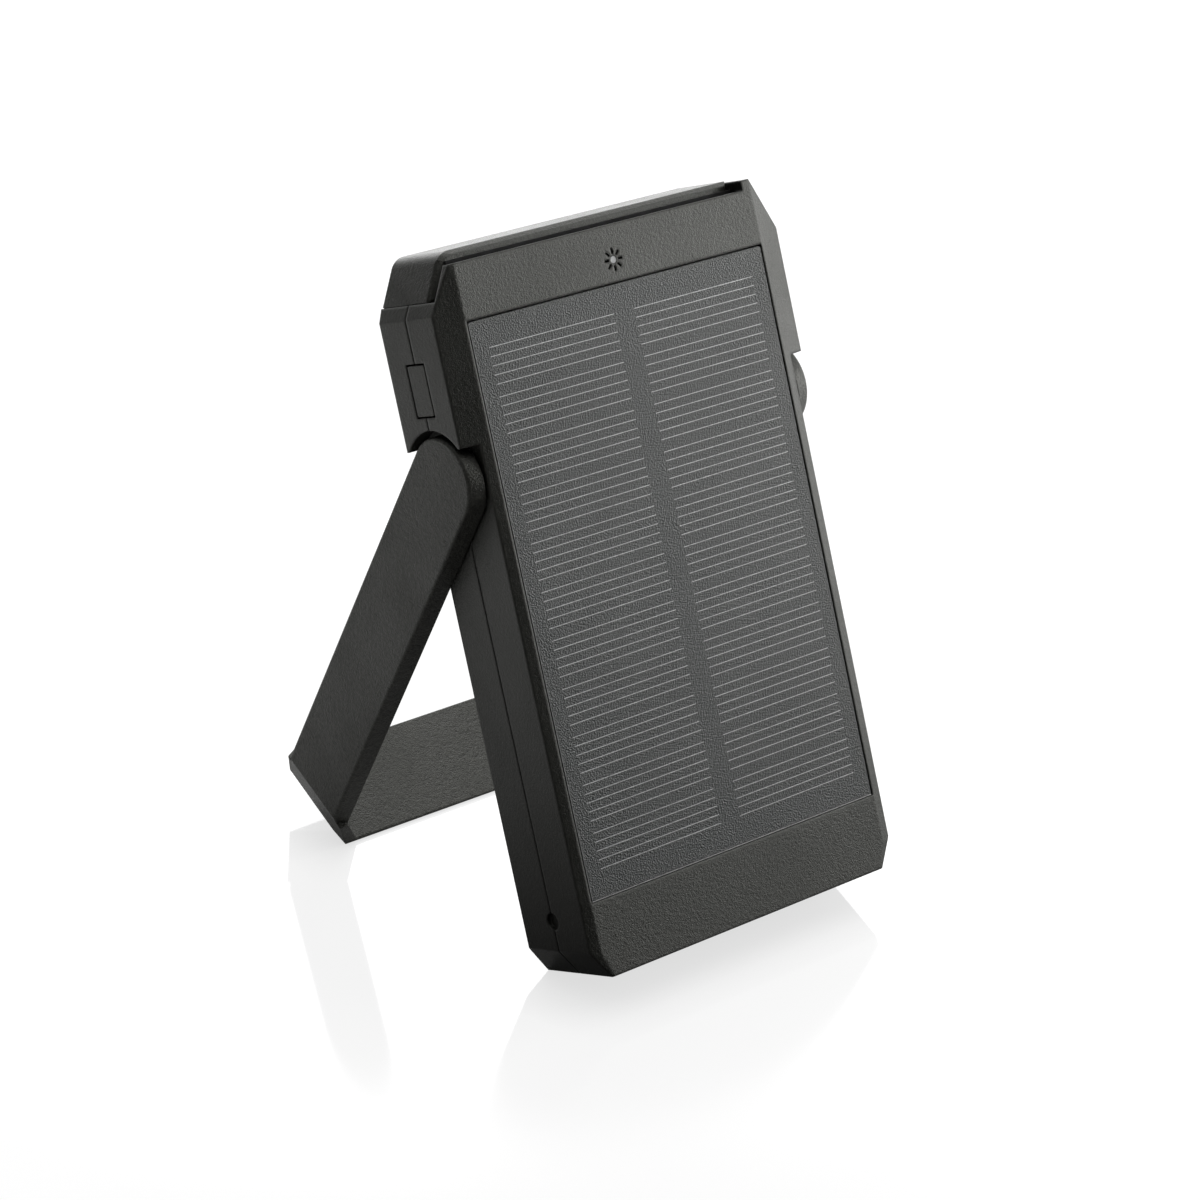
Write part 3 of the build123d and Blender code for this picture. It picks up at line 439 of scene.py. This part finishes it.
# %% Small finishes
def speckled(name, dark, light, scale, rough, metallic=0.0, depth=0.00002, brushed=(1, 1, 1)):
    """Finish whose tone and height follow one noise, stretched along an axis for brushed metal."""
    material, tree, shader = new_finish(name, Metallic=metallic)
    where = add_node(tree, "ShaderNodeMapping", Vector=place_on_part(tree), Scale=brushed)
    speck = add_node(tree, "ShaderNodeTexNoise", Vector=where.outputs["Vector"], Scale=scale, Detail=2.0)
    touch = place_group(tree, handling_group, Scale=scale / 8, Low=rough, High=rough + 0.1)
    bump = add_node(tree, "ShaderNodeBump", Distance=depth, Strength=0.8, Height=speck.outputs["Fac"])
    wire(tree, shader, Base_Color=blend(tree, "RGBA", speck.outputs["Fac"], (*dark, 1), (*light, 1)),
         Roughness=touch.outputs["Roughness"], Normal=bump.outputs["Normal"])
    return material


silver_finish = speckled("silver_print_finish", (0.10, 0.10, 0.10), (0.80, 0.81, 0.80), 2400, 0.45, 0.2)
steel_finish = speckled("pin_steel_finish", (0.42, 0.42, 0.43), (0.58, 0.58, 0.60), 900, 0.28, 1.0, 0.00001,
                        brushed=(0.15, 1, 1))
screw_finish = speckled("screw_steel_finish", (0.20, 0.20, 0.21), (0.34, 0.34, 0.35), 1200, 0.35, 1.0)
socket_finish = speckled("socket_metal_finish", (0.55, 0.55, 0.56), (0.70, 0.70, 0.71), 700, 0.25, 1.0,
                         0.00001, brushed=(1, 0.2, 0.2))
cell_finish = speckled("solar_cell_finish", (0.012, 0.014, 0.022), (0.022, 0.026, 0.040), 400, 0.3)
board_finish = speckled("circuit_board_finish", (0.010, 0.075, 0.030), (0.018, 0.110, 0.045), 900, 0.35)
backing_finish = speckled("panel_board_finish", (0.012, 0.013, 0.014), (0.02, 0.021, 0.022), 900, 0.5)
foam_finish = speckled("foam_tape_finish", (0.02, 0.02, 0.02), (0.05, 0.05, 0.05), 2200, 0.8, 0.0, 0.0001)
foil_finish = speckled("battery_foil_finish", (0.45, 0.46, 0.47), (0.62, 0.63, 0.64), 150, 0.3, 0.9, 0.0001)
tab_finish = speckled("wire_finish", (0.35, 0.34, 0.30), (0.5, 0.49, 0.45), 1000, 0.35, 0.9)
tongue_finish = speckled("socket_plastic_finish", (0.62, 0.62, 0.60), (0.72, 0.72, 0.70), 1500, 0.4)
chip_finish = speckled("chip_plastic_finish", (0.010, 0.010, 0.010), (0.02, 0.02, 0.02), 2500, 0.5)
ferrite_finish = speckled("ferrite_finish", (0.03, 0.03, 0.032), (0.06, 0.06, 0.062), 1600, 0.6)
can_finish = speckled("capacitor_can_finish", (0.5, 0.5, 0.5), (0.65, 0.65, 0.65), 600, 0.3, 0.9)
lens_finish = speckled("clear_plastic_finish", (0.32, 0.33, 0.33), (0.56, 0.57, 0.57), 2600, 0.16)
print("materials so far:", len(bpy.data.materials))

# %% [markdown]
# Each solid part then gets its finish from a table. Finishes could be set part by part, but in a
# table the whole charger can be read at a glance, and the print shows if a part was forgotten.

# %% Finishes of the parts
finishes = {
    "front_shell": case_finish, "back_shell": case_finish, "stand": stand_finish,
    "side_button": button_finish, "port_cover": cover_finish, "solar_film": film_finish,
    "cell_fingers": silver_finish, "solar_cells": cell_finish, "panel_backing": backing_finish,
    "panel_tape": foam_finish, "panel_leads": tab_finish, "light_guide": lens_finish,
    "charge_led": lens_finish, "switch_stem": chip_finish, "push_switch": chip_finish,
    "main_board": board_finish, "board_screws": screw_finish, "case_screws": screw_finish,
    "usb_a_sockets": socket_finish, "usb_a_tongues": tongue_finish, "micro_usb_socket": socket_finish,
    "power_inductor": ferrite_finish, "control_chips": chip_finish, "capacitors": can_finish,
    "battery_cells": foil_finish, "battery_pads": foam_finish, "battery_leads": tab_finish,
    "hinge_pins": steel_finish, "friction_washers": steel_finish, "retaining_rings": steel_finish,
}
for name, node in nodes.items():
    node.data.materials.clear()
    node.data.materials.append(finishes[name])
print("parts without a finish:", sorted(set(nodes) - set(finishes)))

# %% [markdown]
# ## Real rounded edges for the stand, the flap and the button
#
# The parts that are touched most have real radii: the flap is soft rubber with a generous round at
# its outer corner, and the stand's bars are broken by half a millimetre. A copy of each part is
# merged into one closed surface, its flat triangles are dissolved into whole faces, and its sharp
# edges get a bevel, in one pass for each radius. A Bevel modifier could round them too, but it
# takes every edge alike. Weighted normals then keep the broad faces flat while the bevels shade
# smoothly.

# %% Copies to work on
flat_turn = radians(0.5)
sharp_turn = radians(28)
shading_turn = radians(35)


def finish_mesh(name, shape, material, body):
    """Turns a bmesh into a piece of the object with its finish, riding a body."""
    mesh = bpy.data.meshes.new(name)
    shape.to_mesh(mesh)
    shape.free()
    mesh.materials.append(material)
    piece = bpy.data.objects.new(name, mesh)
    bpy.context.scene.collection.objects.link(piece)
    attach(piece, body)
    print(name, "rides", body, "with", len(mesh.polygons), "faces")
    return piece


def merged_copy(node):
    """A part's surface as one closed bmesh with few flat faces, none of them hollow."""
    shape = bmesh.new()
    shape.from_mesh(nodes[node].data)
    bmesh.ops.remove_doubles(shape, verts=shape.verts, dist=millimetre / 1000)
    bmesh.ops.dissolve_limit(shape, angle_limit=flat_turn, verts=shape.verts, edges=shape.edges)
    bmesh.ops.connect_verts_concave(shape, faces=shape.faces[:])
    return shape


def rounded(name, node, body, material, passes):
    """Piece that stands for a part, with its sharp edges rounded.

    Each pass is a radius, a number of segments and a test for the edges it takes.
    """
    shape = merged_copy(node)
    for radius, segments, keep in passes:
        edges = [edge for edge in shape.edges if edge.calc_face_angle(0) > sharp_turn and keep(edge)]
        print(name, "radius in mm:", round(radius / millimetre, 2), "edges:", len(edges))
        bmesh.ops.bevel(shape, geom=edges, offset=radius, offset_type="OFFSET", segments=segments,
                        profile=0.5, affect="EDGES", material=-1, clamp_overlap=True)
    for face in shape.faces:
        face.smooth = True
    piece = finish_mesh(name, shape, material, body)
    piece.data.set_sharp_from_angle(angle=shading_turn)
    even = piece.modifiers.new("even_shading", "WEIGHTED_NORMAL")
    even.keep_sharp = True
    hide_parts(node)


print("edges get a bevel where they turn by more than", round(degrees(sharp_turn)), "degrees")

# %% [markdown]
# Three tests pick the edges. The stand and the button take every sharp edge. On the flap the outer
# corner gets the large radius first, and then all edges except those of the thin lower end of its
# tail, where a bevel would open the joint with the shoulder.

# %% Rounded copies
flap_low = span("port_cover", upward)[0] + 2 * millimetre
flap_top_low = flap_low + 3 * millimetre
flap_outer = span("port_cover", across)[0] + 4 * millimetre
flap_middle = sum(span("port_cover", outward)) / 2
alignment = 0.8


def every(edge):
    """Takes each edge."""
    return True


def above_tail(edge):
    """Takes the flap's edges above the lower end of its tail."""
    return max(vertex.co.dot(upward) for vertex in edge.verts) > flap_low


def outer_corner(edge):
    """Takes the flap's outer corner on the button's side: its front edge and its top edge."""
    ends = [vertex.co for vertex in edge.verts]
    run = (ends[1] - ends[0]).normalized()
    outer = all(end.dot(across) < flap_outer for end in ends)
    front = abs(run.dot(upward)) > alignment and all(end.dot(outward) > flap_middle for end in ends)
    top = abs(run.dot(outward)) > alignment and all(end.dot(upward) > flap_top_low for end in ends)
    return outer and (front or top)


rounded("stand_dressed", "stand", "stand", stand_finish, [(0.45 * millimetre, 3, every)])
rounded("flap_dressed", "port_cover", "cover", cover_finish,
        [(1.4 * millimetre, 6, outer_corner), (0.45 * millimetre, 3, above_tail)])
rounded("button_dressed", "side_button", "button", button_finish,
        [(0.15 * millimetre, 3, every)])

# %% [markdown]
# ## The printed lines
#
# Each cell carries five silver lines as thin as a hair. They lie under the film, but they are seen
# as if on it, so they are modelled as flat strips at the film's surface, one bmesh for all of them.
# A texture could draw them, but strips stay crisp from close by. The ends and heights of the rows
# come from the frame's own lines, found as the separate islands of one mesh.

# %% Collector lines
def line_islands(node):
    """Extents along the case's axes of each separate box in a part: (low, high) in case directions."""
    shape = bmesh.new()
    shape.from_mesh(nodes[node].data)
    bmesh.ops.remove_doubles(shape, verts=shape.verts, dist=millimetre / 1000)
    waiting, islands = set(shape.verts), []
    while waiting:
        island, front = set(), [waiting.pop()]
        while front:
            vertex = front.pop()
            island.add(vertex)
            for edge in vertex.link_edges:
                other = edge.other_vert(vertex)
                if other in waiting:
                    waiting.discard(other)
                    front.append(other)
        places = [case_axes.transposed() @ vertex.co for vertex in island]
        islands.append((Vector(min(p[i] for p in places) for i in range(3)),
                        Vector(max(p[i] for p in places) for i in range(3))))
    shape.free()
    return sorted(islands, key=lambda pair: (round(pair[0].y, 5), pair[0].x))


line_width = 0.13 * millimetre
line_rise = 0.02 * millimetre
film_level = span("solar_film", outward)[1]
lines = bmesh.new()
for low, high in line_islands("cell_fingers"):
    centre = Vector(((low.x + high.x) / 2, (low.y + high.y) / 2, film_level))
    size = Matrix.Diagonal((high.x - low.x, line_width, 2 * line_rise, 1))
    bmesh.ops.create_cube(lines, size=1, matrix=case_axes @ Matrix.Translation(centre) @ size)
print("printed lines:", len(lines.faces) // 6)
collector_lines = finish_mesh("collector_lines", lines, silver_finish, "case")
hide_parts("cell_fingers")

# %% [markdown]
# ## The film's edges
#
# The film is cut square and polished, and its lower and left edges show as fine pale lines beside
# the gap round the panel, where they catch the light. Each is a strip with rounded edges and a pale
# finish, which is a painted highlight, brighter on the lower edge than on the left one. The film's own
# mesh could be bevelled instead, but the frame's parts stay as they are, and a strip can have its own
# brighter finish.

# %% Film edges
def strip(name, centre, size, material, turn=0.0, radius=0.03 * millimetre):
    """Strip with rounded edges, placed along the case's directions and turned about the outward one."""
    shape = bmesh.new()
    place = Matrix.Translation(centre) @ Matrix.Rotation(turn, 4, "Z") @ Matrix.Diagonal((*size, 1))
    bmesh.ops.create_cube(shape, size=1, matrix=place)
    bmesh.ops.bevel(shape, geom=shape.edges[:], offset=radius, offset_type="OFFSET", segments=2,
                    profile=0.5, affect="EDGES", material=-1, clamp_overlap=True)
    shape.transform(case_axes)
    piece = finish_mesh(name, shape, material, "case")


# Painted highlights: a pale tone for the film's lower edge and a dimmer one for its left edge.
low_edge_highlight_finish = speckled("film_low_edge_painted_highlight", (0.12, 0.12, 0.12), (0.80, 0.80, 0.79), 1500, 0.25)
side_edge_highlight_finish = speckled("film_side_edge_painted_highlight", (0.04, 0.04, 0.04), (0.30, 0.30, 0.30), 1500, 0.25)
(film_left, film_right), (film_low, film_high) = span("solar_film", across), span("solar_film", upward)
film_width, film_height = film_right - film_left, film_high - film_low
bead = 0.16 * millimetre
bead_level = film_level - 0.07 * millimetre
below_edge, inside_edge = 0.4 * bead, 0.3 * bead
strip("film_low_edge", Vector(((film_left + film_right) / 2, film_low - below_edge, bead_level)),
      Vector((film_width, bead, bead)), low_edge_highlight_finish)
strip("film_side_edge", Vector((film_left + inside_edge, (film_low + film_high) / 2, bead_level)),
      Vector((bead, film_height - 2 * bead, bead)), side_edge_highlight_finish)

# %% [markdown]
# ## Dark strips in the flap's gaps
#
# Two near-black strips sit in the gaps round the flap, and their black finish is painted shade. The
# first is a lip that stands on the rim of the case in front of the flap's foot, and it shows as a dark
# line over the face: the shade in the groove under the flap, painted as a strip. It belongs to the
# case, so it stays behind when the flap swings open. It could be a tube run along a curve, but the
# rim is straight, so the strip from the cell before serves. Its height on the case is taken from
# the rim's own corner.

# %% Rim gap shade
def first_corner(node, order):
    """Corner of a part that comes first in an order, in the case's directions."""
    return min((Vector((vertex.co.dot(across), vertex.co.dot(upward), vertex.co.dot(outward)))
                for vertex in nodes[node].data.vertices), key=order)


# Near-black finish of both strips: painted shade in the flap's gaps.
gap_shade_finish = speckled("painted_gap_shade_finish", (0.001, 0.001, 0.001), (0.004, 0.004, 0.004), 3000, 0.8)
flap_back, flap_front = span("port_cover", outward)
rim_reach = film_right - 3 * millimetre
rim = first_corner("front_shell", lambda spot: -spot.y if abs(spot.x) < rim_reach else 1)
rim_strip_height, rim_strip_thickness, rim_strip_clearance = 1.1 * millimetre, 0.4 * millimetre, 0.03 * millimetre
right_inset = 2 * millimetre
strip("rim_gap_shade",
      Vector((-right_inset / 2, rim.y + rim_strip_height / 2, flap_front + rim_strip_clearance + rim_strip_thickness / 2)),
      Vector((film_width - right_inset, rim_strip_height, rim_strip_thickness)), gap_shade_finish)
print("rim in mm up the face:", round(rim.y / millimetre, 2))

# %% [markdown]
# The second strip fills the thin gap between the end of the flap's tail and the shoulder, which
# would otherwise let light through as a white sliver; its near-black finish paints the joint in shade.
# The flap could be made longer instead, but then it would rub on the shoulder as it opens. The gap
# slopes, so its run, its width and its middle are measured from the corners of the two parts, and
# the strip is turned to lie along it.

# %% Tail gap shade
tail_fill = 0.8
tail_inset = 0.2 * millimetre
tail_side_inset = 0.9 * millimetre
tail_outer = first_corner("port_cover", lambda spot: spot.x)
tail_inner = first_corner("port_cover", lambda spot: spot.y)
shoulder = first_corner("back_shell", lambda spot: -spot.y if spot.x < tail_outer.x else 1)
tail_run = (tail_inner - tail_outer).xy.to_3d()
tail_length = tail_run.length
tail_run.normalize()
tail_normal = Vector((-tail_run.y, tail_run.x, 0))
tail_gap = (tail_outer - shoulder).xy.to_3d().dot(tail_normal)
tail_middle = tail_outer + tail_run * tail_length / 2 - tail_normal * tail_gap / 2
tail_middle.z = (flap_back + flap_front) / 2
tail_depth = flap_front - flap_back - 2 * tail_side_inset
# Painted shade: a near-black strip fills the joint under the flap's tail.
strip("tail_joint_shade", tail_middle, Vector((tail_length - 2 * tail_inset, tail_fill * tail_gap, tail_depth)),
      gap_shade_finish, turn=atan2(tail_run.y, tail_run.x))
print("gap under the flap's tail in mm:", round(tail_gap / millimetre, 3))

# %% [markdown]
# ## The finish of the floor and the cards
#
# The floor is white acrylic, and it has two jobs. To the camera it is nearly as bright as the
# background, by some light of its own, and keeps a soft shadow, a painted contact shade where
# something stands on it (ambient occlusion dims its glow there), and a mirror image that blurs away
# from the charger's foot. To the charger's plastic, which mirrors it, the same floor carries painted
# shade: its tone and glow are dark close by and pale farther off, as if a lamp lit only the
# backdrop. So its tone and its glow depend on who looks: the Light Path node tells the camera's rays
# from the rest. Two floors, each hidden from one kind of ray, could do it too, but they would have to
# be kept alike. The cards are plain matt black.

# %% Floor and card finishes
painted_shade_spot, painted_shade_to_pale = (0.0, -0.165), (0.095, 0.315)
painted_shade_tones = (0.02, 0.90)
painted_shade_glow_share = 0.35
clear_spot, clear_to_blurred = (0.0, 0.035), (0.095, 0.16)
floor_roughness = (0.06, 0.75)
contact_reach = 0.013
painted_contact_shade_openness = (0.40, 0.94)
camera_glow = (0.70, 0.84)
camera_tone = grey(0.20)


def distance_from(tree, spot):
    """How far a point on the floor is from a spot on it, in metres."""
    away = add_node(tree, "ShaderNodeMapping", Vector=place_on_part(tree), Location=(-spot[0], -spot[1], 0.0))
    far = add_node(tree, "ShaderNodeVectorMath", operation="LENGTH")
    feed(tree, far.inputs[0], away.outputs["Vector"])
    return far.outputs["Value"]


def floor_finish():
    """Acrylic floor with one face for the camera and another for reflections."""
    material, tree, shader = new_finish("floor_finish", Emission_Color=grey(1.0))
    to_camera = add_node(tree, "ShaderNodeLightPath").outputs["Is Camera Ray"]
    # Painted shade: to reflections the floor's tone and glow darken towards the charger.
    pale = stretch(tree, distance_from(tree, painted_shade_spot), painted_shade_to_pale, painted_shade_tones, "SMOOTHSTEP")
    satin = stretch(tree, distance_from(tree, clear_spot), clear_to_blurred, floor_roughness, "SMOOTHSTEP")
    # Painted contact shade: ambient occlusion dims the glow that the camera sees where something stands.
    openness = add_node(tree, "ShaderNodeAmbientOcclusion", samples=4, Distance=contact_reach).outputs["AO"]
    glow_with_painted_contact_shade = stretch(tree, openness, painted_contact_shade_openness, camera_glow)
    glow = compute(tree, "MULTIPLY", pale, painted_shade_glow_share)
    wire(tree, shader, Base_Color=blend(tree, "RGBA", to_camera, pale, camera_tone), Roughness=satin,
         Emission_Strength=blend(tree, "FLOAT", to_camera, glow, glow_with_painted_contact_shade))
    return material


floor.data.materials.append(floor_finish())
card_finish = new_finish("card_finish", Base_Color=grey(0.01), Roughness=1.0)[0]
for card in cards:
    card.data.materials.append(card_finish)
print("floor nodes:", len(floor.data.materials[0].node_tree.nodes))

# %% [markdown]
# ## The background
#
# The world is plain white to the camera, and in reflections and clear parts, and a dimmer white as
# a light, so that it fills the shadows without washing the black plastic out. A white wall behind
# the charger could do it, but it would need light of its own.

# %% World
def white_world(fill):
    """White background with its own strength as a light."""
    world = bpy.data.worlds.new("studio")
    bpy.context.scene.world = world
    world.use_nodes = True
    tree = world.node_tree
    tree.nodes.clear()
    path = add_node(tree, "ShaderNodeLightPath").outputs
    seen = compute(tree, "MAXIMUM", path["Is Camera Ray"], path["Is Glossy Ray"])
    shown = compute(tree, "MAXIMUM", seen, path["Is Transmission Ray"])
    mixed = add_node(tree, "ShaderNodeMixShader")
    feed(tree, mixed.inputs[0], shown)
    for socket, strength in zip(mixed.inputs[1:], (fill, 1.0)):
        white = add_node(tree, "ShaderNodeBackground", Color=grey(1.0), Strength=strength)
        feed(tree, socket, white.outputs["Background"])
    add_node(tree, "ShaderNodeOutputWorld", Surface=mixed.outputs["Shader"])


white_world(fill=0.33)
bpy.context.scene.view_settings.view_transform = "Standard"
print("world:", bpy.context.scene.world.name)
